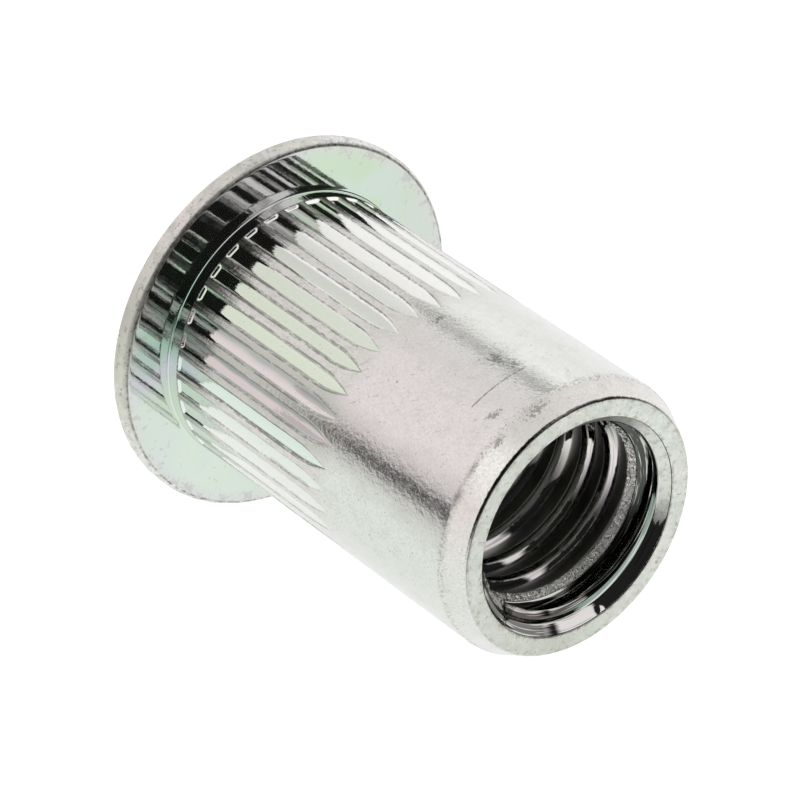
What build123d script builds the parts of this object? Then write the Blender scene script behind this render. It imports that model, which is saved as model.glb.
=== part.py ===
# Rivet nut: a flanged blind nut in one piece, with a straight knurl on its body, in millimetres.
# It stands on its flange. Z runs up the axis, from the flange's outer face to the threaded end.
import os
from math import cos, radians, sin, tan

from build123d import *

# Thread: its nominal diameter and pitch. The bore is cut at the diameter of the tapping drill.
thread_diameter = 10.0
thread_pitch = 1.5
thread_length = 10.5
mouth_clearance = 0.135
mouth_chamfer_angle = 45.0

# Wide bore below the thread, whose thin wall folds into the bulge when the nut is set
screw_clearance = 0.4
chamber_wall_thickness = 1.1
chamber_shoulder_angle = 59.0
entry_chamfer = 0.25

# Body and its far end, a short cone that leads into the hole in the sheet
total_length = 21.2
lead_in_length = 1.13
lead_in_angle = 24.0
end_edge_radius = 0.2

# Flange, which stands out from the body and is rounder on its outer face
flange_overhang = 2.35
flange_thickness = 1.1
rim_radius = 0.28
head_edge_radius = 0.5
root_fillet = 0.1

# Straight knurl: shallow grooves with flat bottoms, between lands of the body's own surface
groove_count = 36
groove_depth = 0.12
groove_bottom_width = 0.42
groove_side_width = 0.14
groove_tip_width = 0.08
groove_start_above_flange = 0.66
groove_end_wall_length = 0.28
groove_full_length = 8.3
groove_run_out_length = 1.75
cutter_lift = 0.015
cutter_clearance = 0.3

# Radii and heights that follow from the sizes above
thread_radius = thread_diameter / 2
drill_radius = (thread_diameter - thread_pitch) / 2
mouth_radius = thread_radius + mouth_clearance
chamber_radius = thread_radius + screw_clearance
body_radius = chamber_radius + chamber_wall_thickness
flange_radius = body_radius + flange_overhang
lead_in_start = total_length - lead_in_length
lead_in_end = total_length - end_edge_radius * (1 - sin(radians(lead_in_angle)))
lead_in_end_radius = body_radius - (lead_in_end - lead_in_start) * tan(radians(lead_in_angle))
end_face_radius = lead_in_end_radius - end_edge_radius * cos(radians(lead_in_angle))
mouth_chamfer_start = total_length - (mouth_radius - drill_radius) / tan(radians(mouth_chamfer_angle))
thread_start = total_length - thread_length
chamber_top = thread_start - (chamber_radius - drill_radius) / tan(radians(chamber_shoulder_angle))

# Stations of one groove's cutter: its height, its depth below the surface and its floor's width.
# The floor rises out of the surface at a steep end wall near the flange and a long run-out above.
full_from = flange_thickness + groove_start_above_flange + groove_end_wall_length
full_to = full_from + groove_full_length
overrun = (groove_depth + cutter_lift) / groove_depth
stations = [
    (full_from - groove_end_wall_length * overrun, -cutter_lift, groove_bottom_width),
    (full_from, groove_depth, groove_bottom_width),
    (full_to, groove_depth, groove_bottom_width),
    (full_to + groove_run_out_length * overrun, -cutter_lift, groove_tip_width),
]
side_slope = groove_side_width / groove_depth
cutter_reach = body_radius + cutter_clearance

# The cutter is a trapezium carried from station to station, whose sides keep one slope
with BuildPart() as groove_cutter:
    for height, depth, floor_width in stations:
        floor_radius = body_radius - depth
        floor_half = floor_width / 2
        outer_half = floor_half + (cutter_reach - floor_radius) * side_slope
        with BuildSketch(Plane.XY.offset(height)):
            with BuildLine():
                Polyline(
                    (floor_radius, -floor_half),
                    (cutter_reach, -outer_half),
                    (cutter_reach, outer_half),
                    (floor_radius, floor_half),
                    close=True,
                )
            make_face()
    loft(ruled=True)

with BuildPart() as rivet_nut:
    # Half section of the headed and drilled blank, turned about the axis
    with BuildSketch(Plane.XZ):
        with BuildLine():
            head_face = Line((chamber_radius + entry_chamfer, 0), (flange_radius - head_edge_radius, 0))
            head_edge = TangentArc(head_face @ 1, (flange_radius, head_edge_radius), tangent=(1, 0))
            rim = Line(head_edge @ 1, (flange_radius, flange_thickness - rim_radius))
            upper_rim = TangentArc(rim @ 1, (flange_radius - rim_radius, flange_thickness), tangent=(0, 1))
            underside = Line(upper_rim @ 1, (body_radius + root_fillet, flange_thickness))
            root = TangentArc(underside @ 1, (body_radius, flange_thickness + root_fillet), tangent=(-1, 0))
            side = Line(root @ 1, (body_radius, lead_in_start))
            lead_in = Line(side @ 1, (lead_in_end_radius, lead_in_end))
            end_edge = TangentArc(lead_in @ 1, (end_face_radius, total_length), tangent=lead_in % 1)
            end_face = Line(end_edge @ 1, (mouth_radius, total_length))
            mouth_chamfer = Line(end_face @ 1, (drill_radius, mouth_chamfer_start))
            thread_wall = Line(mouth_chamfer @ 1, (drill_radius, thread_start))
            shoulder = Line(thread_wall @ 1, (chamber_radius, chamber_top))
            chamber_wall = Line(shoulder @ 1, (chamber_radius, entry_chamfer))
            entry = Line(chamber_wall @ 1, head_face @ 0)
        make_face()
    revolve(axis=Axis.Z)

    # The knurl
    with PolarLocations(0, groove_count):
        add(groove_cutter.part, mode=Mode.SUBTRACT)

rivet_nut.part.label = "rivet_nut"

os.makedirs("parts", exist_ok=True)
export_step(rivet_nut.part, "parts/rivet_nut.step")
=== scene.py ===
# A zinc plated rivet nut, standing on its flange on a pale floor. The scene is in metres, but the
# sizes below are in millimetres, in the part's own frame, and the azimuths in degrees.
import math

import bmesh
import bpy
import numpy as np
from mathutils import Matrix, Vector


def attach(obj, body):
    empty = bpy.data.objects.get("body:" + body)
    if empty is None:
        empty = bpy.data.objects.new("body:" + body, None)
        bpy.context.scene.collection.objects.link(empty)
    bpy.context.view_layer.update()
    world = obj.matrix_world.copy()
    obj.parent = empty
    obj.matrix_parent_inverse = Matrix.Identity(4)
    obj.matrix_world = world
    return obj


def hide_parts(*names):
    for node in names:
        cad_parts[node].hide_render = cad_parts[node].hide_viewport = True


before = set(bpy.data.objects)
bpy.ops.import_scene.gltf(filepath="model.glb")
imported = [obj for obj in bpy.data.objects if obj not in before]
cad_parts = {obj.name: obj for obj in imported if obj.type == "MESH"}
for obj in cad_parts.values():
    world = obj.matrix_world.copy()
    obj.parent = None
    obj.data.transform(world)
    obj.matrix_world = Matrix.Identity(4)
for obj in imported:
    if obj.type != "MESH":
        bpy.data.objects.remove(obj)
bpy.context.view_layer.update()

MM = 0.001

# Sizes shared with the part's source
BODY_RADIUS = 6.5
TOTAL_LENGTH = 21.2
FLANGE_RADIUS = 8.85
FLANGE_THICKNESS = 1.1
HEAD_EDGE_RADIUS = 0.5
RIM_RADIUS = 0.28
ROOT_RADIUS = 0.1
LEAD_IN_START = 20.07
LEAD_IN_ANGLE = 24.0
END_EDGE_RADIUS = 0.2
MOUTH_RADIUS = 5.135
DRILL_RADIUS = 4.25
CHAMBER_RADIUS = 5.4
CHAMBER_TOP = 10.009
THREAD_START = 10.7
ENTRY_CHAMFER = 0.25
PITCH = 1.5
GROOVES = 36
GROOVE_START = 1.76
GROOVE_FULL_TO = 10.34

# The knurl's finish: slightly uneven grooves with rounded sides. The last three are how far a
# groove's sides wander, how late it narrows, and how much of its depth it has lost at its point.
GROOVE_DEPTH = 0.115
GROOVE_END_WALL = 0.13
GROOVE_TIP = 12.3
GROOVE_HALF_MOUTH = 0.41
GROOVE_SIDE = 0.15
GROOVE_WANDER = 0.005
GROOVE_TAPER = 1.9
GROOVE_LIFT = 0.55

# The thread, which the source leaves out. A crest passes through one height at one azimuth, and
# the flanks turn duller, and darker as painted shade, from one radius to another.
THREAD_ROOT_RADIUS = 5.0
THREAD_FLANK_ANGLE = 30
CREST_WIDTH = 0.42
CREST_EDGE = 0.05
CREST_HEIGHT = 17.75
CREST_AZIMUTH = 91.5
CREST_BEAD = 0.03
BEAD_WIDTH = 0.03
LAST_CREST_TILT = 0.85
LAST_CREST_LIFT = 0.02
LAST_CREST_TEAR = 0.008
DULL_AND_SHADED_FROM = (4.5, 4.62)

# The mouth's two chamfers: the radius and height where they meet, and where the lower one ends
MOUTH_STEP = (4.69, 20.76)
MOUTH_FOOT = (4.585, 20.53)
MOUTH_EDGE_RADIUS = 0.05

# Two nicks in the end edge and a burr in the mouth: azimuth, height, size and depth
NICKS = [(-141.8, 21.05, 0.13, 0.06), (-124.8, 21.05, 0.16, 0.05)]
BURR = (64.0, 21.07, 0.09, 0.05)

# The old dirt on the end edge is thickest round this azimuth, and thins out past its reach
DIRT_AZIMUTH = -108.0
DIRT_REACH = 34.0
DIRT_FADE = 22.0
DIRT_THIN = 0.45

# Columns of vertices in a plain ring, half as many as in a knurled one, and the least widths that
# a groove's own columns keep past its point
COLUMNS = 288
LEAST_HALF = 0.06
LEAST_SIDE = 0.03

# How far below the end face the mesh of the thread is finest, and how far it is in sight
MOUTH_REACH = 3.2
SIGHT_REACH = 6.5

random = np.random.default_rng(36)


def arc(centre, radius, start, end, count):
    """Points (radius, height) on an arc in the half section, from one angle to another."""
    angles = np.radians(np.linspace(start, end, count))
    return [(centre[0] + radius * math.cos(a), centre[1] + radius * math.sin(a)) for a in angles]


def smooth(value):
    value = np.clip(value, 0.0, 1.0)
    return value * value * (3.0 - 2.0 * value)


def ramp(value, soft, soft_top=None):
    """Rises straight from 0 at 0 to 1 at 1, with both of its corners rounded."""

    def rise(x, s):
        return np.where(x < -s, 0.0, np.where(x < s, (x + s) ** 2 / (4.0 * s), x))

    return rise(value, soft) - rise(value - 1.0, soft_top or soft)


# The knurl. Each groove has its own columns of vertices, which close in on its point.
SIDE_STATIONS = np.array([-0.2, 0.12, 0.5, 0.88, 1.2])
LAND_STATIONS = np.array([0.25, 0.6, 1.0])
HALF_COLUMNS = len(SIDE_STATIONS) + len(LAND_STATIONS)
HALF_PITCH = math.pi * BODY_RADIUS / GROOVES
EVEN = np.arange(1, HALF_COLUMNS + 1) / HALF_COLUMNS * HALF_PITCH
groove_reach = random.normal(0.0, 0.06, GROOVES)
groove_width = 1.0 + random.normal(0.0, 0.03, GROOVES)
groove_depth = 1.0 + random.normal(0.0, 0.05, GROOVES)
groove_wave = random.uniform(0.0, 2.0 * math.pi, (GROOVES, 2))


def groove_state(height, groove):
    """Half width at the surface, width of one side and depth of one groove at one height."""
    run_out = (height - GROOVE_FULL_TO) / (GROOVE_TIP + groove_reach[groove] - GROOVE_FULL_TO)
    entry = (height - GROOVE_START) / GROOVE_END_WALL
    slow, quick = groove_wave[groove]
    wave = math.sin(2.1 * height + slow) + math.sin(4.7 * height + quick)
    half = GROOVE_HALF_MOUTH * groove_width[groove] + GROOVE_WANDER * wave
    depth = GROOVE_DEPTH * groove_depth[groove]
    if run_out > 0:
        half *= max(1.0 - run_out**GROOVE_TAPER, 0.0)
        depth *= max(1.0 - GROOVE_LIFT * run_out**2, 0.0)
    depth = min(depth, GROOVE_DEPTH * half / GROOVE_SIDE)
    side = GROOVE_SIDE * depth / GROOVE_DEPTH
    return half, side, depth * float(ramp(entry, 0.2, 0.5))


def knurled_ring(height, radius):
    """One ring of the body: its points and how much of each point is in a groove."""
    points, inside = [], []

    # the columns are evenly spread beside the flange and again past the points of the grooves
    even = 1.0 - smooth((height - FLANGE_THICKNESS - 0.1) / 0.45)
    even = max(even, smooth((height - GROOVE_TIP - 0.15) / 1.1))
    for groove in range(GROOVES):
        half, side, depth = groove_state(height, groove)
        laid, laid_side = max(half, LEAST_HALF), max(side, LEAST_SIDE)
        floor = laid - laid_side
        edge = floor + laid_side * SIDE_STATIONS
        edge[0] = max(edge[0], 0.4 * edge[1])
        across = np.concatenate([edge, edge[-1] + (HALF_PITCH - edge[-1]) * LAND_STATIONS])
        across = across + (EVEN - across) * even
        across = np.concatenate([-across[::-1][1:], [0.0], across])
        share = 1.0 - ramp((np.abs(across) - (half - side)) / max(side, 1e-6), 0.22)
        angle = math.radians(360.0 / GROOVES * groove) + across / BODY_RADIUS
        at = radius - depth * share
        points += [(r * math.cos(a), r * math.sin(a), height) for r, a in zip(at, angle)]
        inside += list(share * min(depth / (0.3 * GROOVE_DEPTH), 1.0))
    first = HALF_COLUMNS - 1
    return np.roll(np.array(points), -first, axis=0), np.roll(np.array(inside), -first)


def plain_ring(radius, height):
    angles = np.arange(COLUMNS) * 2.0 * math.pi / COLUMNS
    heights = np.full(COLUMNS, height)
    return np.stack([radius * np.cos(angles), radius * np.sin(angles), heights], -1)


def dent(points, azimuth, height, size, depth):
    """Pushes the points near one spot towards the axis."""
    angles = np.arctan2(points[:, 1], points[:, 0])
    radius = np.hypot(points[:, 0], points[:, 1])
    away = (angles - math.radians(azimuth) + math.pi) % (2.0 * math.pi) - math.pi
    near = np.exp(-((away * radius) ** 2 + (points[:, 2] - height) ** 2) / size**2)
    scale = 1.0 - depth * near / radius
    return np.stack([points[:, 0] * scale, points[:, 1] * scale, points[:, 2]], -1)


def halving(wide, wide_count, narrow, narrow_count):
    """The faces from a ring to one with half as many points, each given by its first vertex."""
    made = []
    for i in range(narrow_count):
        p, q, s = wide + 2 * i, wide + 2 * i + 1, wide + (2 * i + 2) % wide_count
        here, there = narrow + i, narrow + (i + 1) % narrow_count
        made += [(p, q, here), (q, there, here), (q, s, there)]
    return made


class Shell:
    """Collects rings of vertices and the bands of faces between them."""

    def __init__(self):
        self.points, self.bright, self.grime, self.faces, self.zone = [], [], [], [], []
        self.count = 0

    def ring(self, points, bright=0.0, grime=0.0):
        first = self.count
        self.points.append(points)
        self.bright.append(np.broadcast_to(bright, len(points)).astype(float))
        self.grime.append(np.broadcast_to(grime, len(points)).astype(float))
        self.count += len(points)
        return first, len(points)

    def band(self, lower, upper, zone):
        (a, n), (b, m) = lower, upper
        if n == m:
            made = [(a + i, a + (i + 1) % n, b + (i + 1) % n, b + i) for i in range(n)]
        elif n > m:
            made = halving(a, n, b, m)
        else:
            made = [face[::-1] for face in halving(b, m, a, n)]
        self.faces += made
        self.zone += [zone] * len(made)


# The nut's surfaces, in the order in which it gets their materials
BODY, PLATE, RIM, END, THREAD, WALL, HEAD = range(7)


def thread_radius(along):
    """Radius of the thread at a distance along its pitch from the middle of the crest."""
    away = np.abs((along + PITCH / 2) % PITCH - PITCH / 2)
    slope = 1.0 / math.tan(math.radians(THREAD_FLANK_ANGLE))
    flank = DRILL_RADIUS + np.maximum(away - CREST_WIDTH / 2, 0.0) * slope
    near = np.clip((away - CREST_WIDTH / 2 + CREST_EDGE) / (2 * CREST_EDGE), 0.0, 1.0)
    flank = np.where(near < 1.0, DRILL_RADIUS + slope * CREST_EDGE * near * near, flank)
    bead = np.exp(-(((away - CREST_WIDTH / 2 + CREST_EDGE / 2) / BEAD_WIDTH) ** 2))
    return np.minimum(flank, THREAD_ROOT_RADIUS) - CREST_BEAD * bead


def mouth_radius(height):
    """Radius of the mouth's two chamfers."""
    heights = [MOUTH_FOOT[1] - 1.0, MOUTH_FOOT[1], MOUTH_STEP[1], TOTAL_LENGTH]
    radii = [MOUTH_FOOT[0] - 1.0, MOUTH_FOOT[0], MOUTH_STEP[0], MOUTH_RADIUS]
    return np.interp(height, heights, radii)


def first_crest():
    """Height at azimuth 0 of the crest that the thread's heights count from."""
    return CREST_HEIGHT - PITCH * CREST_AZIMUTH / 360.0


def bore_ring(start):
    """One turn of the tapped bore, rising by one pitch round the axis and held between its ends.
    It comes with how sound each point is, which is 0 on the torn last crest."""
    angles = np.arange(COLUMNS) * 2.0 * math.pi / COLUMNS
    rise = PITCH * angles / (2.0 * math.pi)
    height = np.clip(start + rise, CHAMBER_TOP, TOTAL_LENGTH - MOUTH_EDGE_RADIUS)
    along = height - rise - first_crest()
    widening = (CHAMBER_RADIUS - DRILL_RADIUS) / (THREAD_START - CHAMBER_TOP)
    shoulder = DRILL_RADIUS + (THREAD_START - height) * widening
    last = 1.0 - smooth((np.abs(along - PITCH) - 0.16) / 0.12)
    tilt = LAST_CREST_LIFT + LAST_CREST_TILT * (along - PITCH + CREST_WIDTH / 2)
    tear = random.normal(0.0, LAST_CREST_TEAR, COLUMNS)
    tapped = thread_radius(along) + last * (tilt + tear)
    radius = np.maximum(np.maximum(tapped, mouth_radius(height)), shoulder)
    radius = np.minimum(radius, CHAMBER_RADIUS)
    return np.stack([radius * np.cos(angles), radius * np.sin(angles), height], -1), 1.0 - last


def bore_starts():
    """Heights at azimuth 0 of the bore's rings, closer together near the mouth."""
    crest = first_crest()
    edge = CREST_WIDTH / 2 - CREST_EDGE / 2
    bead = np.array([edge - 0.06, edge - 0.03, edge, edge + 0.03, edge + 0.06])
    thread_depth = THREAD_ROOT_RADIUS - DRILL_RADIUS
    root = CREST_WIDTH / 2 + thread_depth * math.tan(math.radians(THREAD_FLANK_ANGLE))
    half = {
        "deep": np.concatenate([[0.0], bead, [root - 0.02, root + 0.02]]),
        "seen": np.concatenate([[0.0, 0.08], bead, [0.34, 0.5, root - 0.02, root + 0.02]]),
        "mouth": np.concatenate([[0.0, 0.05, 0.1], bead, np.linspace(0.3, PITCH / 2, 11)]),
    }
    lowest, highest = CHAMBER_TOP - PITCH - 0.1, TOTAL_LENGTH
    starts = []
    turn = math.floor((lowest - crest) / PITCH)
    while crest + turn * PITCH < highest:
        base = crest + turn * PITCH
        below = TOTAL_LENGTH - base
        side = half["mouth" if below < MOUTH_REACH else "seen" if below < SIGHT_REACH else "deep"]
        stations = np.unique(np.round(np.concatenate([side, PITCH - side]) % PITCH, 5))
        starts += [base + s for s in stations if lowest <= base + s <= highest]
        turn += 1
    return starts


def flange_rings(shell):
    """The head face, the rim and the flange's underside. Gives back the first ring and the last."""
    radii = (CHAMBER_RADIUS + ENTRY_CHAMFER, 6.4, 7.4, FLANGE_RADIUS - HEAD_EDGE_RADIUS)
    section = [(r, 0.0, 0.0) for r in radii]
    head_to = len(section)
    centre = (FLANGE_RADIUS - HEAD_EDGE_RADIUS, HEAD_EDGE_RADIUS)
    section += [(r, z, 0.0) for r, z in arc(centre, HEAD_EDGE_RADIUS, -90, 0, 9)[1:]]
    section += [(FLANGE_RADIUS, z, 0.0) for z in (0.6, 0.72)]
    centre = (FLANGE_RADIUS - RIM_RADIUS, FLANGE_THICKNESS - RIM_RADIUS)
    corner = arc(centre, RIM_RADIUS, 0, 90, 10)
    grime = (0.0, 0.0, 0.0, 0.0, 0.15, 0.4, 0.65, 0.75, 0.5, 0.1)
    section += [(r, z, g) for (r, z), g in zip(corner, grime)]
    rim_to = len(section) - 1
    section += [(r, FLANGE_THICKNESS, 0.0) for r in (8.5, 8.2, 7.8, 7.3, 6.9, 6.7)]
    first = previous = shell.ring(plain_ring(*section[0][:2]))
    for index, (radius, height, dirt) in enumerate(section[1:], 1):
        ring = shell.ring(plain_ring(radius, height), 1.0, dirt)
        shell.band(previous, ring, HEAD if index < head_to else RIM if index < rim_to else PLATE)
        previous = ring
    return first, previous


def body_rings(shell, previous):
    """The root, the collar, the knurl and the plain body beside it."""
    centre = (BODY_RADIUS + ROOT_RADIUS, FLANGE_THICKNESS + ROOT_RADIUS)
    section = arc(centre, ROOT_RADIUS, 270, 180, 7)
    root_to = len(section)
    end_wall = (-0.2, -0.05, 0.1, 0.25, 0.45, 0.65, 0.85, 1.05, 1.25, 1.5)
    run_out = GROOVE_TIP + 0.14 - GROOVE_FULL_TO
    heights = [1.3, 1.5, 1.66]
    heights += [GROOVE_START + GROOVE_END_WALL * share for share in end_wall]
    heights += list(np.linspace(2.05, 9.7, 14))
    heights += list(GROOVE_FULL_TO + np.linspace(0.0, 1.0, 17) ** 0.8 * run_out)
    heights += [12.75, 13.1, 13.6]
    section += [(BODY_RADIUS, z) for z in heights]
    for index, (radius, height) in enumerate(section):
        points, inside = knurled_ring(height, radius)
        if height < GROOVE_START - 0.03:
            inside = np.ones(len(points))
        ring = shell.ring(points, inside)
        shell.band(previous, ring, PLATE if index < root_to else BODY)
        previous = ring
    return previous


def lead_in_rings(shell, previous):
    """The plain body above the knurl, the lead-in and the end edge. Gives back the last ring and
    the end face's radius."""
    angle = math.radians(LEAD_IN_ANGLE)
    drop = math.tan(angle)
    centre_height = TOTAL_LENGTH - END_EDGE_RADIUS
    tangent_height = centre_height + END_EDGE_RADIUS * math.sin(angle)
    tangent_radius = BODY_RADIUS - (tangent_height - LEAD_IN_START) * drop
    centre = (tangent_radius - END_EDGE_RADIUS * math.cos(angle), centre_height)
    heights = (14.3, 15.5, 17.0, 18.3, 19.3, LEAD_IN_START - 0.12)
    section = [(BODY_RADIUS, z, 0.0) for z in heights]

    # the body turns into the cone over a short rounded length
    turn = 0.16
    for step in (-0.04, 0.04, 0.12):
        share = float(ramp(np.array(step / turn + 0.5), 0.5))
        section.append((BODY_RADIUS - 0.5 * drop * turn * share**2, LEAD_IN_START + step, 0.3))
    for z, dirt in ((0.3, 0.0), (0.65, 0.0), (0.9, 0.1)):
        section.append((BODY_RADIUS - z * drop, LEAD_IN_START + z, dirt))
    grime = (0.3, 0.6, 1.0, 1.0, 1.0, 0.7, 0.4, 0.1)
    edge = arc(centre, END_EDGE_RADIUS, LEAD_IN_ANGLE, 90, len(grime))
    section += [(r, z, g) for (r, z), g in zip(edge, grime)]
    for index, (radius, height, dirt) in enumerate(section):
        points = plain_ring(radius, height)
        for nick in NICKS:
            points = dent(points, *nick)
        azimuth = np.degrees(np.arctan2(points[:, 1], points[:, 0]))
        away = np.abs((azimuth - DIRT_AZIMUTH + 180.0) % 360.0 - 180.0)
        thick = 1.0 - smooth((away - DIRT_REACH) / DIRT_FADE)
        ring = shell.ring(points, 0.0, dirt * (DIRT_THIN + (1.0 - DIRT_THIN) * thick))
        shell.band(previous, ring, END if index > len(section) - 4 else BODY)
        previous = ring
    return previous, centre[0]


def end_rings(shell, previous, outer):
    """The end face and the lip of the mouth."""
    for radius in (outer - 0.08, 5.6, MOUTH_RADIUS + 0.1):
        ring = shell.ring(plain_ring(radius, TOTAL_LENGTH))
        shell.band(previous, ring, END)
        previous = ring
    centre = (MOUTH_RADIUS + 0.02, TOTAL_LENGTH - MOUTH_EDGE_RADIUS)
    for radius, height in arc(centre, MOUTH_EDGE_RADIUS, 90, 150, 4):
        ring = shell.ring(plain_ring(radius, height))
        shell.band(previous, ring, END)
        previous = ring
    return previous


def bore_rings(shell, previous, first):
    """The mouth, the thread and the wide bore, down to the head face."""
    for start in reversed(bore_starts()):
        points, sound = bore_ring(start)
        ring = shell.ring(dent(points, *BURR), sound)
        shell.band(previous, ring, THREAD)
        previous = ring
    for height in (9.9, 7.5, 5.0, 2.5, 0.35, ENTRY_CHAMFER):
        ring = shell.ring(plain_ring(CHAMBER_RADIUS, height))
        shell.band(previous, ring, WALL)
        previous = ring
    shell.band(previous, first, WALL)


def build_nut():
    """The whole nut as one closed mesh, from its head face up the outside and down the bore."""
    shell = Shell()
    first, previous = flange_rings(shell)
    previous = body_rings(shell, previous)
    previous, outer = lead_in_rings(shell, previous)
    previous = end_rings(shell, previous, outer)
    bore_rings(shell, previous, first)
    return shell


def make_mesh(name, shell):
    mesh = bpy.data.meshes.new(name)
    mesh.from_pydata((np.concatenate(shell.points) * MM).tolist(), [], shell.faces)
    for key, values in (("bright", shell.bright), ("grime", shell.grime)):
        attribute = mesh.attributes.new(key, "FLOAT", "POINT")
        attribute.data.foreach_set("value", np.concatenate(values).astype(np.float32))
    mesh.polygons.foreach_set("material_index", shell.zone)
    mesh.polygons.foreach_set("use_smooth", [True] * len(mesh.polygons))
    obj = bpy.data.objects.new(name, mesh)
    bpy.context.scene.collection.objects.link(obj)
    return obj


def clean(obj):
    """Joins the points that the bore's ends hold together, and drops what has no area."""
    bm = bmesh.new()
    bm.from_mesh(obj.data)
    bmesh.ops.remove_doubles(bm, verts=bm.verts, dist=1e-7)
    bmesh.ops.dissolve_degenerate(bm, edges=bm.edges, dist=1e-8)
    bmesh.ops.recalc_face_normals(bm, faces=bm.faces)
    bm.to_mesh(obj.data)
    bm.free()


class Graph:
    """A material's nodes, with short calls for the few kinds used here."""

    def __init__(self, tree):
        self.tree = tree
        tree.nodes.clear()

    def node(self, kind, **settings):
        made = self.tree.nodes.new(kind)
        for key, value in settings.items():
            setattr(made, key, value)
        return made

    def put(self, socket, value):
        if isinstance(value, bpy.types.NodeSocket):
            self.tree.links.new(value, socket)
        elif isinstance(value, (tuple, list)) and len(value) == 3 and socket.type == "RGBA":
            socket.default_value = (*value, 1.0)
        else:
            socket.default_value = value

    def math(self, operation, a, b=0.0, c=0.0):
        made = self.node("ShaderNodeMath", operation=operation)
        self.put(made.inputs[0], a)
        self.put(made.inputs[1], b)
        self.put(made.inputs[2], c)
        return made.outputs[0]

    def times(self, a, b):
        return self.math("MULTIPLY", a, b)

    def add(self, a, b):
        return self.math("ADD", a, b)

    def inverse(self, share):
        return self.math("SUBTRACT", 1.0, share)

    def away(self, value, middle):
        """How far a value is from a middle one, on either side."""
        return self.math("ABSOLUTE", self.math("SUBTRACT", value, middle))

    def swing(self, noise, amount):
        """A noise made to swing about 0, by an amount."""
        return self.times(self.math("SUBTRACT", noise, 0.5), amount)

    def mix(self, share, a, b):
        made = self.node("ShaderNodeMix", data_type="RGBA")
        self.put(made.inputs[0], share)
        self.put(made.inputs[6], a)
        self.put(made.inputs[7], b)
        return made.outputs[2]

    def blend(self, share, a, b):
        made = self.node("ShaderNodeMix", data_type="FLOAT")
        self.put(made.inputs[0], share)
        self.put(made.inputs[2], a)
        self.put(made.inputs[3], b)
        return made.outputs[0]

    def vector(self, x, y, z):
        made = self.node("ShaderNodeCombineXYZ")
        for socket, value in zip(made.inputs, (x, y, z)):
            self.put(socket, value)
        return made.outputs[0]

    def noise(self, vector, scale, detail=2.0, roughness=0.5):
        made = self.node("ShaderNodeTexNoise")
        self.put(made.inputs["Vector"], vector)
        made.inputs["Scale"].default_value = scale
        made.inputs["Detail"].default_value = detail
        made.inputs["Roughness"].default_value = roughness
        return made.outputs[0]

    def range(self, value, low, high, to_low=0.0, to_high=1.0, kind="SMOOTHSTEP"):
        made = self.node("ShaderNodeMapRange", interpolation_type=kind)
        self.put(made.inputs["Value"], value)
        made.inputs["From Min"].default_value = low
        made.inputs["From Max"].default_value = high
        made.inputs["To Min"].default_value = to_low
        made.inputs["To Max"].default_value = to_high
        return made.outputs[0]

    def ramp(self, share, stops):
        made = self.node("ShaderNodeValToRGB")
        self.put(made.inputs[0], share)
        band = made.color_ramp
        while len(band.elements) < len(stops):
            band.elements.new(0.5)
        for element, (at, colour) in zip(band.elements, stops):
            element.position = at
            element.color = (*colour, 1.0)
        return made.outputs[0]

    def attribute(self, name):
        return self.node("ShaderNodeAttribute", attribute_name=name).outputs["Fac"]

    def bump(self, height, strength, distance, normal=None):
        made = self.node("ShaderNodeBump")
        made.inputs["Strength"].default_value = strength
        made.inputs["Distance"].default_value = distance * MM
        self.put(made.inputs["Height"], height)
        if normal is not None:
            self.put(made.inputs["Normal"], normal)
        return made.outputs[0]

    def metal(self, colour, roughness, normal=None):
        made = self.node("ShaderNodeBsdfPrincipled")
        made.inputs["Metallic"].default_value = 1.0
        self.put(made.inputs["Base Color"], colour)
        self.put(made.inputs["Roughness"], roughness)
        if normal is not None:
            self.put(made.inputs["Normal"], normal)
        return made.outputs[0]

    def finish(self, shader):
        out = self.node("ShaderNodeOutputMaterial")
        self.put(out.inputs["Surface"], shader)


class Surface:
    """Where a point of the nut is: in millimetres, round the axis, and from the axis."""

    def __init__(self, g):
        coordinates = g.node("ShaderNodeTexCoord")
        scale = g.node("ShaderNodeVectorMath", operation="SCALE")
        g.put(scale.inputs[0], coordinates.outputs["Object"])
        scale.inputs["Scale"].default_value = 1.0 / MM
        self.place = scale.outputs[0]
        split = g.node("ShaderNodeSeparateXYZ")
        g.put(split.inputs[0], self.place)
        x, y, self.height = split.outputs
        self.radius = g.math("SQRT", g.add(g.times(x, x), g.times(y, y)))

        # the azimuth in degrees, from -180 to 180, and the same in turns, from 0 to 1
        self.azimuth = g.times(g.math("ARCTAN2", y, x), 180.0 / math.pi)
        self.turn = g.add(g.times(self.azimuth, 1.0 / 360.0), 0.5)

        # the angle in radians from azimuth 90, so that its seam lies out of sight in the bore
        self.from_back = g.math("ARCTAN2", g.times(x, -1.0), y)


def new_material(name):
    material = bpy.data.materials.new(name)
    material.use_nodes = True
    return material, Graph(material.node_tree)


# Colours of the plating, and of the dirt on it
SILVER = (0.82, 0.83, 0.79)
GREY = (0.52, 0.52, 0.50)
LAND_LIGHT = (0.72, 0.695, 0.665)
LAND_DARK = (0.50, 0.49, 0.45)
BARE = (0.96, 0.965, 0.95)
DARK = (0.10, 0.095, 0.085)
BROWN = (0.07, 0.058, 0.045)


def shifted(g, vector, by):
    moved = g.node("ShaderNodeVectorMath", operation="ADD")
    g.put(moved.inputs[0], vector)
    moved.inputs[1].default_value = (by, by * 1.7, -by)
    return moved.outputs[0]


def specks(g, place, scale, low, high, seed=0.0):
    """Small scattered pits: 1 inside them."""
    return g.range(g.noise(shifted(g, place, seed), scale, 3.0, 0.6), low, high)


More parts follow.
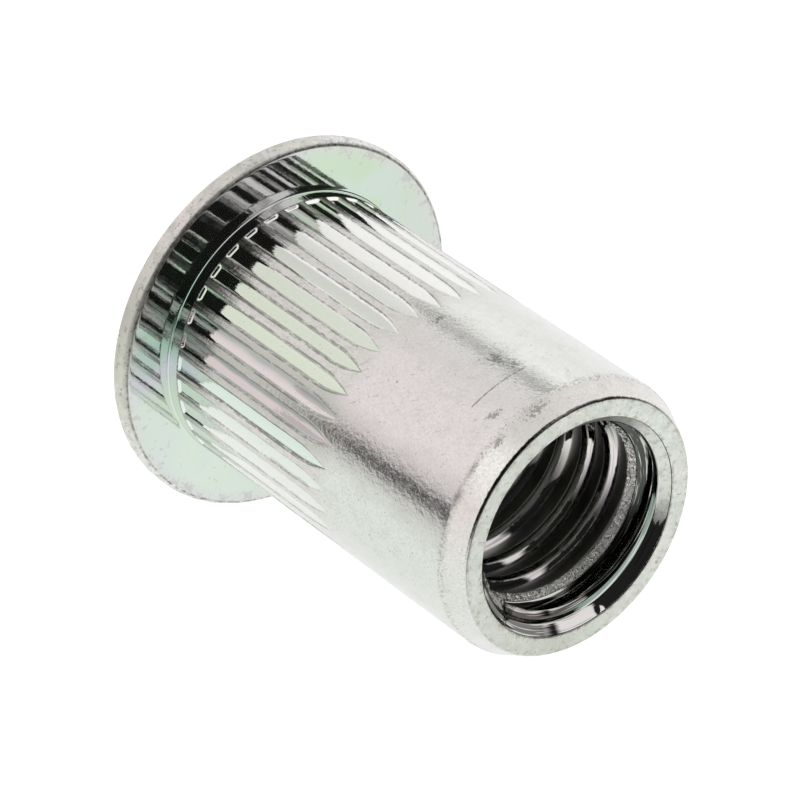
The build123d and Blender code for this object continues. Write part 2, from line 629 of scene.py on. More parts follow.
def scratches(g, s, slant, fine, coarse, low, high, seed):
    """Short fine scratches on the outside, at a slant to the axis in degrees: 1 inside them."""
    along = math.radians(slant)
    round_mm = g.times(s.azimuth, math.pi * BODY_RADIUS / 180.0)
    cosine, sine = math.cos(along), math.sin(along)
    u = g.add(g.times(round_mm, cosine), g.times(s.height, sine))
    v = g.math("SUBTRACT", g.times(s.height, cosine), g.times(round_mm, sine))
    stretched = g.vector(g.times(u, fine), g.times(v, coarse), g.times(s.radius, fine))
    return g.range(g.noise(shifted(g, stretched, seed), 1.0, 2.0, 0.5), low, high)


def blot(g, s, azimuth, height, wide, high, breakup):
    """A mark at one place on the outside, broken up by a noise: 1 inside it."""
    across = g.math("SUBTRACT", s.azimuth, azimuth)
    across = g.times(across, math.pi * BODY_RADIUS / 180.0 / wide)
    up = g.times(g.math("SUBTRACT", s.height, height), 1.0 / high)
    away = g.math("SQRT", g.add(g.times(across, across), g.times(up, up)))
    return g.range(g.add(away, breakup), 0.3, 0.8, 1.0, 0.0)


def dirty(g, colour, place):
    """The brown line of old dirt along an edge, where the mesh says it lies."""
    patchy = g.add(g.attribute("grime"), g.swing(g.noise(place, 3.0, 4.0, 0.65), 1.3))
    return g.mix(g.times(g.range(patchy, 0.5, 1.0), 0.8), colour, BROWN)


# Tints round the part, set from mean tones measured in the photograph at steps round it, so they
# hold some of its light and shade too. A stop's place is its azimuth in turns, from -180.
SATIN_TINTS = [
    (0.0, (0.93, 0.93, 0.90)),
    (0.09, (0.88, 0.89, 0.85)),
    (0.125, (0.97, 0.98, 0.94)),
    (0.145, (0.78, 0.775, 0.74)),
    (0.185, (0.74, 0.695, 0.685)),
    (0.22, (0.83, 0.765, 0.765)),
    (0.275, (0.85, 0.77, 0.765)),
    (0.295, (0.69, 0.63, 0.62)),
    (0.31, (0.66, 0.61, 0.60)),
    (0.345, (0.66, 0.67, 0.63)),
    (0.37, (0.79, 0.84, 0.77)),
    (0.45, (0.80, 0.84, 0.78)),
    (0.5, (0.86, 0.88, 0.84)),
    (0.62, (0.76, 0.74, 0.72)),
    (0.75, (0.75, 0.70, 0.70)),
    (0.9, (0.74, 0.79, 0.72)),
]

# The lead-in cone's tints round the part, which hold some painted light and shade as well
CONE_TINTS = [
    (0.0, (0.90, 0.88, 0.85)),
    (0.083, (0.86, 0.82, 0.79)),
    (0.14, (0.78, 0.74, 0.72)),
    (0.18, (0.66, 0.64, 0.59)),
    (0.21, (0.68, 0.66, 0.61)),
    (0.24, (0.98, 0.95, 0.91)),
    (0.265, (0.97, 0.94, 0.90)),
    (0.305, (0.81, 0.73, 0.69)),
    (0.36, (0.82, 0.82, 0.78)),
    (0.42, (0.80, 0.83, 0.77)),
    (0.5, (0.88, 0.90, 0.86)),
    (0.7, (0.80, 0.77, 0.74)),
    (1.0, (0.90, 0.88, 0.85)),
]

# The floors of the grooves, whose tints round the part hold some painted light and shade. The two
# near -70 and -60 degrees are in two tones, painted reflections, as the photograph has them
BRIGHT_TINTS = [
    (0.0, (0.96, 0.96, 0.93)),
    (0.1, (0.97, 0.97, 0.94)),
    (0.14, (0.90, 0.90, 0.87)),
    (0.167, (0.74, 0.745, 0.71)),
    (0.19, (0.67, 0.68, 0.63)),
    (0.215, (0.72, 0.765, 0.66)),
    (0.285, (0.73, 0.78, 0.65)),
    (0.293, (0.44, 0.455, 0.43)),
    (0.302, (0.46, 0.465, 0.44)),
    (0.306, (0.77, 0.69, 0.69)),
    (0.316, (0.75, 0.68, 0.68)),
    (0.319, (0.30, 0.33, 0.31)),
    (0.328, (0.33, 0.36, 0.34)),
    (0.331, (0.68, 0.60, 0.60)),
    (0.34, (0.68, 0.60, 0.60)),
    (0.347, (0.66, 0.78, 0.70)),
    (0.365, (0.74, 0.83, 0.76)),
    (0.41, (0.82, 0.86, 0.81)),
    (0.5, (0.90, 0.93, 0.89)),
    (0.6, (0.70, 0.77, 0.68)),
    (0.75, (0.70, 0.73, 0.62)),
    (0.9, (0.70, 0.77, 0.70)),
    (1.0, (0.96, 0.96, 0.93)),
]

# The sides of the grooves: bare and white, or dark where the photograph has dark lines, these
# dark ones being painted reflections
SIDE_TINTS = [
    (0.0, BARE),
    (0.2, BARE),
    (0.226, (0.62, 0.62, 0.58)),
    (0.24, (0.34, 0.34, 0.30)),
    (0.3, (0.42, 0.43, 0.40)),
    (0.35, (0.36, 0.39, 0.36)),
    (0.362, (0.10, 0.11, 0.10)),
    (0.374, (0.30, 0.32, 0.30)),
    (0.395, (0.84, 0.88, 0.85)),
    (1.0, BARE),
]

# One long scratch round the body: its height, its middle azimuth and half its length in degrees
SCRATCH = (18.08, -115.5, 12.5)

# Scuffs on the body: azimuth, height, half width, half height and how broken up they are
SCUFFS = [
    (-94.5, 14.07, 0.11, 0.09, 1.0),
    (-105.5, 19.3, 0.4, 0.22, 5.0),
    (-103.5, 19.1, 0.3, 0.16, 5.0),
    (-116.5, 20.42, 0.7, 0.26, 6.0),
    (-124.5, 12.9, 0.5, 0.2, 6.5),
    (-124.0, 16.8, 0.4, 0.5, 6.5),
    (-126.5, 17.6, 0.3, 0.3, 6.5),
    (-72.5, 20.1, 0.5, 0.2, 5.5),
    (-84.0, 20.15, 0.5, 0.12, 5.5),
    (-97.5, 20.3, 0.5, 0.16, 6.0),
]


# Where the lands are darkest, as painted shade, and the middle of the side towards the camera, on
# which their darker tint stands out most, also as painted shade
SHADED_LAND_AZIMUTH = -66.0
FACING_AZIMUTH = -92.0


def scuffs(g, s, breakup):
    """Marks of handling: a scratch round the body, blots and the scuffed start of the lead-in."""
    height, azimuth, reach = SCRATCH
    scratch = g.times(
        g.range(g.away(s.height, height), 0.02, 0.06, 1.0, 0.0),
        g.range(g.away(s.azimuth, azimuth), reach, reach + 1.5, 1.0, 0.0),
    )
    marks = g.times(scratch, g.range(breakup, 0.42, 0.52))
    for azimuth, height, wide, high, broken in SCUFFS:
        blotted = blot(g, s, azimuth, height, wide, high, g.swing(breakup, broken))
        marks = g.math("MAXIMUM", marks, g.times(blotted, 0.85))
    start = g.range(g.away(s.height, LEAD_IN_START + 0.06), 0.04, 0.25, 1.0, 0.0)
    worn = g.times(start, g.range(breakup, 0.48, 0.6))
    return g.math("MAXIMUM", marks, g.times(worn, 0.65))


def land_tint(g, s):
    """The lands: mottled grey, darker on one side as painted shade, with dark specks along their
    edges and dark streaks near the flange that are painted reflections.
    """
    stretched = g.vector(g.times(s.azimuth, 0.5), g.times(s.height, 1.5), s.radius)
    mottle = g.noise(stretched, 1.0, 8.0, 0.75)
    land = g.mix(g.range(mottle, 0.42, 0.7, 0.0, 0.8), LAND_LIGHT, LAND_DARK)
    # darker round one azimuth, as painted shade
    land_shade = g.range(g.away(s.azimuth, SHADED_LAND_AZIMUTH), 5.0, 20.0, 0.9, 0.0)
    land = g.mix(land_shade, land, LAND_DARK)
    land = g.mix(g.range(g.noise(stretched, 4.0, 6.0, 0.8), 0.57, 0.68, 0.0, 0.6), land, DARK)
    # dark streaks near the flange, which are painted reflections
    drawn = g.vector(g.times(s.azimuth, 1.1), g.times(s.height, 0.35), 0.0)
    streak = g.range(g.noise(drawn, 1.0, 3.0, 0.6), 0.45, 0.58, 0.0, 0.85)
    low = g.range(s.height, 3.0, 4.4, 1.0, 0.0)
    land = g.mix(g.times(low, streak), land, DARK)
    edge = g.times(g.range(g.attribute("bright"), 0.005, 0.08), g.range(mottle, 0.42, 0.52))
    return g.mix(g.times(edge, 0.7), land, DARK)


def satin_shader(g, s):
    """The lands and the plain body: satin, faintly pink or green, with pits and scratches."""
    place = s.place
    turn = g.add(s.turn, g.swing(g.noise(place, 0.25), 0.05))
    cone = g.range(s.height, LEAD_IN_START, LEAD_IN_START + 0.3)
    tint = g.mix(cone, g.ramp(turn, SATIN_TINTS), g.ramp(turn, CONE_TINTS))
    cloud = g.range(g.noise(place, 1.3, 4.0, 0.65), 0.45, 0.75)
    fine = g.range(g.noise(place, 9.0, 5.0, 0.7), 0.35, 0.75, 0.0, 0.65, "LINEAR")
    tint = g.mix(g.math("MULTIPLY_ADD", cloud, 0.22, fine), tint, GREY)
    # the lands' darker tint, mixed in most on the side towards the camera, is painted shade
    facing = g.range(g.away(s.azimuth, FACING_AZIMUTH), 40.0, 68.0, 0.92, 0.4)
    knurled = g.range(s.height, 11.2, 12.8, 1.0, 0.0)
    tint = g.mix(g.times(facing, knurled), tint, land_tint(g, s))

    pits = g.times(specks(g, place, 5.0, 0.66, 0.71, 3.0), 0.5)
    rising = scratches(g, s, 38.0, 9.0, 1.6, 0.68, 0.72, 4.0)
    falling = scratches(g, s, -62.0, 10.0, 2.0, 0.69, 0.73, 9.0)
    lines = g.times(g.math("MAXIMUM", rising, falling), 0.3)
    marks = g.math("MAXIMUM", scuffs(g, s, g.noise(place, 8.0, 5.0, 0.75)), lines)
    colour = g.mix(g.times(g.math("MAXIMUM", marks, pits), 0.7), tint, DARK)
    patches = g.range(g.noise(place, 2.5, 4.0, 0.6), 0.3, 0.7, 0.13, 0.21)
    rough = g.add(patches, g.range(s.height, 2.5, 6.0, 0.12, 0.0))
    grain = g.bump(g.noise(place, 5.5, 3.0, 0.55), 0.8, 0.022)
    wavy = g.bump(g.noise(place, 0.9, 2.0, 0.5), 0.5, 0.04, grain)
    return g.metal(dirty(g, colour, place), rough, wavy)


def bright_shader(g, s):
    """The floors of the knurl and the collar: smooth bright plating, with bare sides, some of which
    are painted dark as reflections.
    """
    place = s.place
    tint = g.ramp(g.add(s.turn, g.swing(g.noise(place, 0.6), 0.006)), BRIGHT_TINTS)
    depth = g.attribute("bright")
    side = g.range(g.times(depth, g.inverse(depth)), 0.04, 0.2)
    patchy = g.range(g.noise(place, 3.0, 5.0, 0.7), 0.3, 0.55, 0.35, 1.0)
    side = g.times(g.times(side, patchy), g.range(s.height, 2.0, 3.0))
    # the sides take their tints round the part, the dark ones painted reflections
    tint = g.mix(side, tint, g.ramp(s.turn, SIDE_TINTS))
    haze = g.range(g.noise(place, 9.0, 4.0, 0.7), 0.5, 0.8, 0.0, 0.4)
    pits = g.add(specks(g, place, 6.0, 0.64, 0.72, 8.0), haze)
    colour = g.mix(g.times(pits, 0.6), tint, GREY)
    rough = g.range(g.noise(place, 2.0, 3.0), 0.3, 0.7, 0.03, 0.08)
    drawn = g.vector(g.times(s.azimuth, 0.75), g.times(s.height, 0.9), 0.0)
    bump = g.bump(g.noise(drawn, 1.0, 3.0, 0.6), 0.6, 0.014)
    bump = g.bump(g.noise(place, 3.5, 3.0, 0.6), 0.25, 0.008, bump)
    return g.metal(colour, rough, bump)


def satin_body():
    """The body: satin outside the grooves and bright in them, with a ragged line between."""
    material, g = new_material("satin_body")
    s = Surface(g)
    ragged = g.swing(g.noise(s.place, 7.0, 4.0, 0.65), 0.7)
    mask = g.range(g.add(g.attribute("bright"), ragged), 0.3, 0.42)
    mixed = g.node("ShaderNodeMixShader")
    g.put(mixed.inputs[0], mask)
    g.put(mixed.inputs[1], satin_shader(g, s))
    g.put(mixed.inputs[2], bright_shader(g, s))
    g.finish(mixed.outputs[0])
    return material


# The underside's tints round the part, partly the plating's pale greens, partly painted light and
# shade
PLATE_TINTS = [
    (0.0, (0.60, 0.73, 0.55)),
    (0.09, (0.62, 0.75, 0.60)),
    (0.14, (0.66, 0.64, 0.66)),
    (0.2, (0.62, 0.62, 0.62)),
    (0.27, (0.45, 0.60, 0.50)),
    (0.34, (0.45, 0.62, 0.52)),
    (0.38, (0.68, 0.66, 0.76)),
    (0.42, (0.66, 0.77, 0.62)),
    (0.5, (0.69, 0.79, 0.69)),
    (0.7, (0.66, 0.74, 0.66)),
    (0.95, (0.66, 0.72, 0.66)),
    (1.0, (0.60, 0.73, 0.55)),
]


def bright_plate():
    """The flange's underside: bright plating in drifting pale greens, stained near its edge."""
    material, g = new_material("bright_plate")
    s = Surface(g)
    drift = g.swing(g.noise(s.place, 0.35, 2.0), 1.0)
    tint = g.ramp(g.add(s.turn, g.times(drift, 0.12)), PLATE_TINTS)
    tint = g.mix(g.range(drift, 0.0, 0.15, 0.0, 0.6), tint, (0.66, 0.74, 0.72))
    cloud = g.noise(s.place, 2.4, 5.0, 0.65)
    worn = g.range(g.add(g.swing(cloud, 1.6), s.radius), 8.0, 8.5)
    tint = g.mix(g.times(worn, 0.6), tint, (0.70, 0.70, 0.69))
    stain = g.range(g.add(cloud, g.range(s.radius, 7.8, 8.6, 0.0, 0.1)), 0.6, 0.7)
    colour = g.mix(g.times(stain, 0.55), tint, GREY)
    rough = g.range(g.noise(s.place, 2.0, 3.0), 0.3, 0.7, 0.03, 0.08)
    bump = g.bump(g.noise(s.place, 3.0, 3.0, 0.6), 0.3, 0.008)
    g.finish(g.metal(dirty(g, colour, s.place), rough, bump))
    return material


# The rim's tones, with a stop every 15 degrees from -155 to -20. They hold some painted light and
# shade as well as the plating's own tones
RIM_TONES = [
    (0.0, (0.95, 0.95, 0.91)),
    (0.07, (0.93, 0.92, 0.89)),
    (0.11, (0.80, 0.79, 0.74)),
    (0.153, (0.74, 0.73, 0.69)),
    (0.194, (0.73, 0.69, 0.65)),
    (0.236, (0.80, 0.73, 0.71)),
    (0.278, (0.69, 0.66, 0.61)),
    (0.319, (0.54, 0.53, 0.48)),
    (0.361, (0.65, 0.67, 0.58)),
    (0.403, (0.72, 0.74, 0.66)),
    (0.444, (0.82, 0.85, 0.79)),
    (0.5, (0.95, 0.97, 0.93)),
    (0.7, (0.74, 0.72, 0.67)),
    (1.0, (0.95, 0.95, 0.91)),
]


def matt_rim():
    """The flange's rim: matt, rough and spotted, with old dirt along its corner."""
    material, g = new_material("matt_rim")
    s = Surface(g)
    turn = g.add(s.turn, g.swing(g.noise(s.place, 0.6), 0.03))
    cloud = g.range(g.noise(s.place, 1.6, 5.0, 0.65), 0.44, 0.64, 0.0, 0.6)
    tint = g.mix(cloud, g.ramp(turn, RIM_TONES), (0.52, 0.50, 0.44))
    grain = g.range(g.noise(s.place, 7.0, 5.0, 0.72), 0.42, 0.72, 0.0, 0.65, "LINEAR")
    tint = g.mix(grain, tint, GREY)
    pits = g.times(specks(g, s.place, 5.0, 0.58, 0.66, 2.0), 0.45)
    colour = g.mix(pits, tint, DARK)
    rough = g.range(g.noise(s.place, 4.0, 4.0), 0.3, 0.7, 0.3, 0.42)
    bump = g.bump(g.noise(s.place, 5.0, 5.0, 0.65), 0.8, 0.035)
    g.finish(g.metal(dirty(g, colour, s.place), rough, bump))
    return material


# The end face's tones round it: a painted sheen in lighter and darker lobes, like a turned face's,
# on its own pale green-grey
END_TONES = [
    (0.0, (0.84, 0.89, 0.82)),
    (0.14, (0.77, 0.79, 0.72)),
    (0.25, (0.73, 0.75, 0.68)),
    (0.33, (0.71, 0.73, 0.67)),
    (0.4, (0.75, 0.78, 0.71)),
    (0.5, (0.71, 0.73, 0.66)),
    (0.6, (0.62, 0.64, 0.56)),
    (0.67, (0.74, 0.76, 0.69)),
    (0.8, (0.81, 0.82, 0.76)),
    (0.93, (0.84, 0.87, 0.80)),
    (1.0, (0.84, 0.89, 0.82)),
]


def end_face():
    """The far end: a matt pressed face, clouded in pale green and grey, with a painted sheen round
    it.
    """
    material, g = new_material("end_face")
    s = Surface(g)
    turn = g.add(s.turn, g.swing(g.noise(s.place, 0.5), 0.06))
    tint = g.ramp(turn, END_TONES)
    cloud = g.range(g.noise(s.place, 0.8, 3.0, 0.6), 0.4, 0.65, 0.0, 0.5)
    tint = g.mix(cloud, tint, (0.70, 0.80, 0.70))
    grain = g.range(g.noise(s.place, 7.0, 5.0, 0.7), 0.35, 0.75, 0.0, 0.6, "LINEAR")
    tint = g.mix(grain, tint, GREY)

    # stains, a little thicker towards both rims
    rims = g.add(g.range(s.radius, 5.6, 6.0), g.range(s.radius, 5.15, 5.35, 1.0, 0.0))
    stain = g.math("MULTIPLY_ADD", rims, 0.1, g.noise(s.place, 3.2, 6.0, 0.75))
    tint = g.mix(g.times(g.range(stain, 0.54, 0.7), 0.7), tint, (0.40, 0.38, 0.32))
    pits = g.times(specks(g, s.place, 4.0, 0.66, 0.72, 4.0), 0.5)
    colour = g.mix(pits, tint, DARK)
    rough = g.range(g.noise(s.place, 1.5, 3.0), 0.3, 0.7, 0.24, 0.34)
    bump = g.bump(g.noise(s.place, 4.0, 4.0, 0.6), 0.35, 0.015)
    g.finish(g.metal(dirty(g, colour, s.place), rough, bump))
    return material


# The mouth's tones up its height, from MOUTH_FROM to the end face: dark and bright bands that are
# painted reflections
MOUTH_FROM = 19.4
MOUTH_TONES = [
    (0.0, (0.08, 0.09, 0.08)),
    (0.42, (0.07, 0.08, 0.07)),
    (0.445, (0.86, 0.83, 0.80)),
    (0.505, (0.84, 0.80, 0.78)),
    (0.525, (0.10, 0.09, 0.085)),
    (0.62, (0.12, 0.11, 0.10)),
    (0.64, (0.24, 0.33, 0.28)),
    (0.745, (0.30, 0.37, 0.33)),
    (0.765, (0.86, 0.80, 0.80)),
    (1.0, (0.88, 0.84, 0.83)),
]


def mouth_tint(g, s, turned, chamfer, matt):
    """The mouth: bands of painted reflection, turned marks with thin bright lines in them that are
    partly painted highlights, and a partly matt chamfer.
    """
    mouth = g.ramp(g.range(s.height, MOUTH_FROM, TOTAL_LENGTH, 0.0, 1.0, "LINEAR"), MOUTH_TONES)

    # the dark parts of its near side, painted where the photograph has them, as painted reflections
    dark = g.times(g.range(s.from_back, -1.1, -1.0, 0.9, 0.0), chamfer)
    mouth = g.mix(dark, mouth, (0.10, 0.10, 0.09))
    lower = g.range(s.height, MOUTH_FOOT[1], MOUTH_FOOT[1] + 0.03)
    lower = g.times(lower, g.inverse(chamfer))
    dark = g.times(g.range(s.from_back, -0.8, -0.5, 0.85, 0.0), lower)
    mouth = g.mix(dark, mouth, (0.10, 0.08, 0.075))
    mouth = g.mix(g.range(turned, 0.56, 0.63, 0.0, 0.7), mouth, (0.80, 0.80, 0.76))
    mouth = g.mix(g.range(turned, 0.46, 0.38, 0.0, 0.6), mouth, DARK)
    cloud = g.range(g.noise(s.place, 3.2, 6.0, 0.75), 0.45, 0.65)
    return g.mix(matt, mouth, g.mix(cloud, (0.74, 0.77, 0.71), GREY))


def thread():
    """The tapped bore: dark and glossy, with a bright line along each crest edge that is partly a
    painted highlight, crest flats painted dark as reflections, and a torn, rough last crest.
    """
    material, g = new_material("thread")
    s = Surface(g)
    sound = g.attribute("bright")
    worn = g.inverse(sound)

    # how far a point is above the thread's own helix, and noises drawn out along it and round
    rising = g.math("SUBTRACT", s.height, g.times(s.from_back, PITCH / (2.0 * math.pi)))
    streaks = g.vector(g.times(s.from_back, 1.6), g.times(rising, 7.0), g.times(s.radius, 7.0))
    streaks = g.noise(streaks, 1.0, 1.0, 0.5)
    turned = g.vector(g.times(s.from_back, 1.4), g.times(s.height, 13.0), g.times(s.radius, 13.0))
    turned = g.noise(turned, 1.0, 2.0, 0.5)

    # the flanks: darker and greener from about 150 degrees of azimuth round to -90, and towards the
    # root duller and darker, the darkening there being painted shade
    cloud = g.range(g.noise(s.place, 0.6, 3.0), 0.4, 0.6)
    tint = g.mix(cloud, (0.74, 0.72, 0.67), (0.76, 0.70, 0.73))
    tint = g.mix(g.range(s.from_back, 1.05, 1.3, 0.0, 0.75), tint, (0.26, 0.34, 0.28))
    tint = g.mix(g.range(streaks, 0.52, 0.74, 0.0, 0.55), tint, DARK)
    deep = g.range(s.radius, *DULL_AND_SHADED_FROM, 0.0, 0.85)
    tint = g.mix(deep, tint, (0.33, 0.335, 0.31))

    # past the last crest the mouth begins
    mouth_base = CREST_HEIGHT + PITCH + 0.2
    past = g.range(rising, mouth_base, mouth_base + 0.1)
    past = g.times(past, g.range(s.height, MOUTH_FROM, MOUTH_FROM + 0.05))
    chamfer = g.range(s.height, MOUTH_STEP[1], MOUTH_STEP[1] + 0.05)
    matt = g.times(g.range(g.add(s.from_back, g.times(streaks, 0.2)), 0.55, 0.62), chamfer)
    mouth = mouth_tint(g, s, turned, chamfer, matt)

    # the crests: flats painted dark as painted reflections, with a thin bright line along each edge
    # that is partly a painted highlight
    half_crest = CREST_WIDTH / 2.0
    from_crest = g.math("PINGPONG", g.math("SUBTRACT", rising, CREST_HEIGHT), PITCH / 2.0)
    flat = g.times(g.range(from_crest, half_crest - 0.06, half_crest - 0.03, 0.8, 0.0), sound)
    line = g.range(g.away(from_crest, half_crest - 0.02), 0.02, 0.045, 1.0, 0.0)
    line = g.times(line, g.range(g.noise(s.place, 1.2, 4.0, 0.6), 0.38, 0.52))
    line = g.times(line, g.inverse(past))
    grit = g.noise(s.place, 4.5, 2.0, 0.6)
    torn = g.times(g.range(worn, 0.2, 0.6), g.range(grit, 0.45, 0.52))
    rough_spot = g.math("MAXIMUM", torn, line)

    colour = g.mix(past, g.mix(flat, tint, (0.14, 0.15, 0.13)), mouth)
    colour = g.mix(g.times(rough_spot, 0.9), colour, (0.95, 0.95, 0.91))
    rough = g.blend(rough_spot, g.range(streaks, 0.3, 0.7, 0.015, 0.03), 0.5)
    rough = g.blend(g.times(deep, g.inverse(past)), rough, 0.32)
    rough = g.blend(matt, rough, 0.34)
    bump = g.bump(streaks, 0.2, 0.006)
    bump = g.bump(g.times(turned, past), 0.3, 0.006, bump)
    bump = g.bump(g.times(grit, worn), 1.0, 0.16, bump)
    g.finish(g.metal(colour, rough, bump))
    return material


def plain_metal(name, colour, roughness):
    """Plain pitted plating, for the faces that the photograph doesn't show."""
    material, g = new_material(name)
    s = Surface(g)
    tint = g.mix(g.range(g.noise(s.place, 0.8, 4.0, 0.6), 0.3, 0.7), colour, SILVER)
    pits = g.times(specks(g, s.place, 5.0, 0.64, 0.72, 7.0), 0.5)
    rough = g.range(g.noise(s.place, 3.0, 4.0), 0.3, 0.7, roughness - 0.06, roughness + 0.08)
    bump = g.bump(g.noise(s.place, 5.0, 4.0, 0.6), 0.5, 0.015)
    g.finish(g.metal(g.mix(pits, tint, DARK), rough, bump))
    return material


def bore_wall():
    return plain_metal("bore_wall", (0.62, 0.62, 0.58), 0.3)


def head_face():
    return plain_metal("head_face", (0.70, 0.70, 0.66), 0.34)


# The nut, whose materials come in the order of its surfaces
nut = make_mesh("nut", build_nut())
clean(nut)
for maker in (satin_body, bright_plate, matt_rim, end_face, thread, bore_wall, head_face):
    nut.data.materials.append(maker())
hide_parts("rivet_nut")
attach(nut, "root")


# Camera, from the photograph's view of the nut's circles. Its place is given on a sphere round a
# point on the axis, then shifted across the view by the nut's offset from the picture's middle.
# FROM_AXIS and ROLL are in radians.
FOCAL_PIXELS = 4707.44
PICTURE_PIXELS = 800
SENSOR = 36.0
CAMERA_DISTANCE = 31.2558 * BODY_RADIUS
TARGET_HEIGHT = 1.3293 * BODY_RADIUS - 0.154
FROM_AXIS = 0.8444
ROLL = 2.1781
CAMERA_TURN = 1.47
CAMERA_AZIMUTH = -90.0 + CAMERA_TURN
OFFSET_RIGHT = -9.5147
OFFSET_UP = 2.9253


def make_camera():
    back = Vector((0.0, -math.sin(FROM_AXIS), math.cos(FROM_AXIS)))
    level = Vector((1.0, 0.0, 0.0))
    rise = back.cross(level)
    right = math.cos(ROLL) * level + math.sin(ROLL) * rise
    up = -math.sin(ROLL) * level + math.cos(ROLL) * rise
    pixel = CAMERA_DISTANCE / FOCAL_PIXELS
    place = Vector((0.0, 0.0, TARGET_HEIGHT)) + CAMERA_DISTANCE * back
    place -= OFFSET_RIGHT * pixel * right + OFFSET_UP * pixel * up
    turn = Matrix.Rotation(math.radians(CAMERA_TURN), 3, "Z")
    right, up, back, place = turn @ right, turn @ up, turn @ back, turn @ place
    data = bpy.data.cameras.new("camera")
    data.sensor_width = SENSOR
    data.lens = SENSOR * FOCAL_PIXELS / PICTURE_PIXELS
    data.clip_start = 0.01
    data.clip_end = 10.0
    camera = bpy.data.objects.new("camera", data)
    axes = Matrix((right, up, back)).transposed().to_4x4()
    camera.matrix_world = Matrix.Translation(place * MM) @ axes
    bpy.context.scene.collection.objects.link(camera)
    bpy.context.scene.camera = camera


def make_quad(name, corners):
    """A flat piece with four corners, in metres."""
    mesh = bpy.data.meshes.new(name)
    mesh.from_pydata(corners, [], [(0, 1, 2, 3)])
    obj = bpy.data.objects.new(name, mesh)
    bpy.context.scene.collection.objects.link(obj)
    return obj


def glow(g, strength):
    """White light of its own."""
    made = g.node("ShaderNodeEmission")
    made.inputs["Color"].default_value = (1.0, 1.0, 1.0, 1.0)
    g.put(made.inputs["Strength"], strength)
    return made.outputs[0]


# Floor: how bright it is to the camera and in mirrors. Under the nut it has no light of its own,
# except below the middle of the bore.
FLOOR_SIZE = 3.0
FLOOR_SEEN = 0.8
FLOOR_MIRRORED = 0.62


def make_floor():
    size = FLOOR_SIZE
    corners = [(-size, -size, 0.0), (size, -size, 0.0), (size, size, 0.0), (-size, size, 0.0)]
    obj = make_quad("floor", corners)
    material, g = new_material("pale_floor")
    material.cycles.emission_sampling = "NONE"
    rays = g.node("ShaderNodeLightPath").outputs
    mirrored = g.math("MAXIMUM", rays["Is Glossy Ray"], rays["Is Transmission Ray"])
    seen = g.times(rays["Is Camera Ray"], FLOOR_SEEN)
    seen = g.math("MAXIMUM", seen, g.times(mirrored, FLOOR_MIRRORED))
    from_axis = Surface(g).radius
    clear = g.add(g.range(from_axis, 6.3, 7.9), g.range(from_axis, 2.6, 3.4, 1.0, 0.0))
    pale = g.node("ShaderNodeBsdfDiffuse")
    pale.inputs["Color"].default_value = (0.8, 0.8, 0.8, 1.0)
    both = g.node("ShaderNodeAddShader")
    g.put(both.inputs[0], glow(g, g.times(seen, clear)))
    g.put(both.inputs[1], pale.outputs[0])
    g.finish(both.outputs[0])
    obj.data.materials.append(material)


# Studio: white all round, with an unlit part high up on the camera's side and overhead, and a tall
# lit window in it. Each limit, in degrees of azimuth or height, is given with the end of its fade.
UNLIT_AZIMUTH = CAMERA_AZIMUTH - 48.0
UNLIT_HALF_WIDTH = (107.0, 119.0)
UNLIT_FROM = (20.0, 27.0)
OVERHEAD_FROM = (48.0, 80.0)
WINDOW_AZIMUTH = 192.0
WINDOW_HALF_WIDTH = (16.0, 22.0)
WINDOW_TO = (64.0, 69.0)
WINDOW_LEVEL = 0.85
UNLIT_LEVEL = 0.015


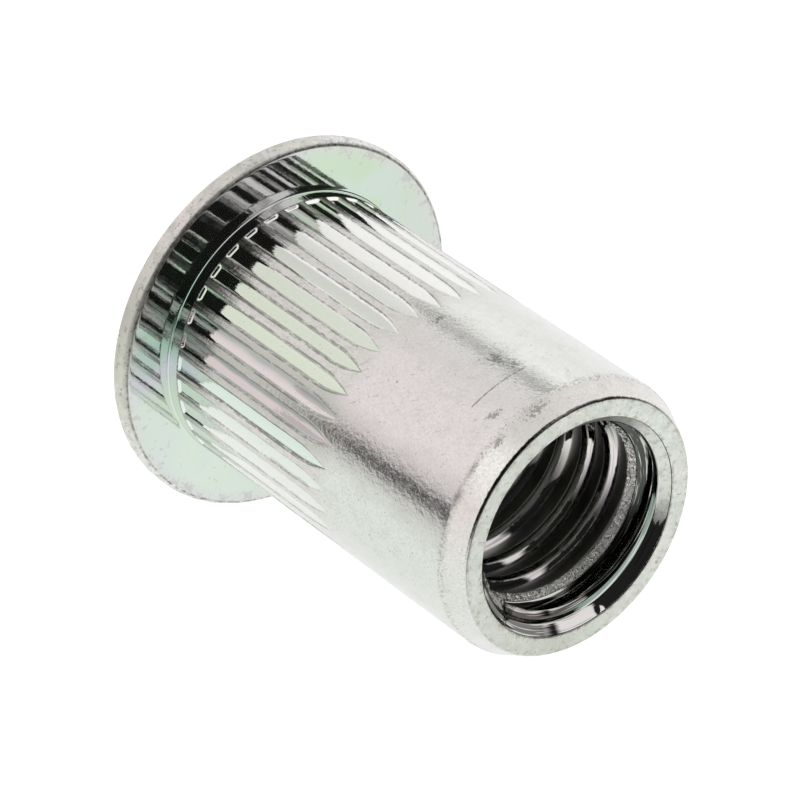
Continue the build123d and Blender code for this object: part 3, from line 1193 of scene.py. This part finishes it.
def make_world():
    world = bpy.data.worlds.new("studio")
    world.use_nodes = True
    bpy.context.scene.world = world
    g = Graph(world.node_tree)
    direction = g.node("ShaderNodeTexCoord").outputs["Generated"]
    split = g.node("ShaderNodeSeparateXYZ")
    g.put(split.inputs[0], direction)
    angle = g.math("ARCTAN2", split.outputs["Y"], split.outputs["X"])

    def beside(azimuth, half_width, level):
        away = g.math("SUBTRACT", angle, math.radians(azimuth))
        away = g.math("ABSOLUTE", g.math("WRAP", away, math.pi, -math.pi))
        return g.range(away, math.radians(half_width[0]), math.radians(half_width[1]), level, 0.0)

    def above(limits, below=0.0, beyond=1.0):
        low, high = (math.sin(math.radians(limit)) for limit in limits)
        return g.range(split.outputs["Z"], low, high, below, beyond)

    unlit = g.times(beside(UNLIT_AZIMUTH, UNLIT_HALF_WIDTH, 1.0), above(UNLIT_FROM))
    unlit = g.math("MAXIMUM", unlit, above(OVERHEAD_FROM))
    window = beside(WINDOW_AZIMUTH, WINDOW_HALF_WIDTH, WINDOW_LEVEL)
    unlit = g.times(unlit, g.inverse(g.times(window, above(WINDOW_TO, 1.0, 0.0))))
    background = g.node("ShaderNodeBackground")
    background.inputs["Color"].default_value = (1.0, 1.0, 1.0, 1.0)
    strength = g.range(unlit, 0.0, 1.0, 1.0, UNLIT_LEVEL, "LINEAR")
    g.put(background.inputs["Strength"], strength)
    out = g.node("ShaderNodeOutputWorld")
    g.put(out.inputs["Surface"], background.outputs[0])


# Cards beside the nut, which its body mirrors as darker streaks: the azimuth from which it mirrors
# them, their distance and width, the heights of their ends, and their level
CARDS = {
    "card_right": (-64.9, 9.0, 2.0, 3.3, 16.0, 0.04),
    "card_right_soft": (-64.9, 9.4, 5.4, 0.1, 17.0, 0.72),
    "card_left": (-125.1, 9.0, 1.9, 3.0, 16.0, 0.5),
}


def make_card(name, azimuth, distance, width, low, high, level):
    body = math.radians(azimuth)
    outward = 2.0 * body - math.radians(CAMERA_AZIMUTH)
    start = Vector((BODY_RADIUS * math.cos(body), BODY_RADIUS * math.sin(body), 0.0))
    way = Vector((math.cos(outward), math.sin(outward), 0.0))
    side = Vector((-way.y, way.x, 0.0))
    middle = start + way * distance
    corners = []
    for across, height in ((-1, low), (1, low), (1, high), (-1, high)):
        corner = middle + side * across * width / 2 + Vector((0.0, 0.0, height))
        corners.append(tuple(corner * MM))
    obj = make_quad(name, corners)
    obj.visible_camera = False
    obj.visible_diffuse = False
    obj.visible_shadow = False
    material, g = new_material(name)
    material.cycles.emission_sampling = "NONE"
    g.finish(glow(g, level))
    obj.data.materials.append(material)


make_camera()
make_floor()
make_world()
for name, card in CARDS.items():
    make_card(name, *card)

bpy.context.scene.view_settings.view_transform = "Standard"

bpy.context.view_layer.update()
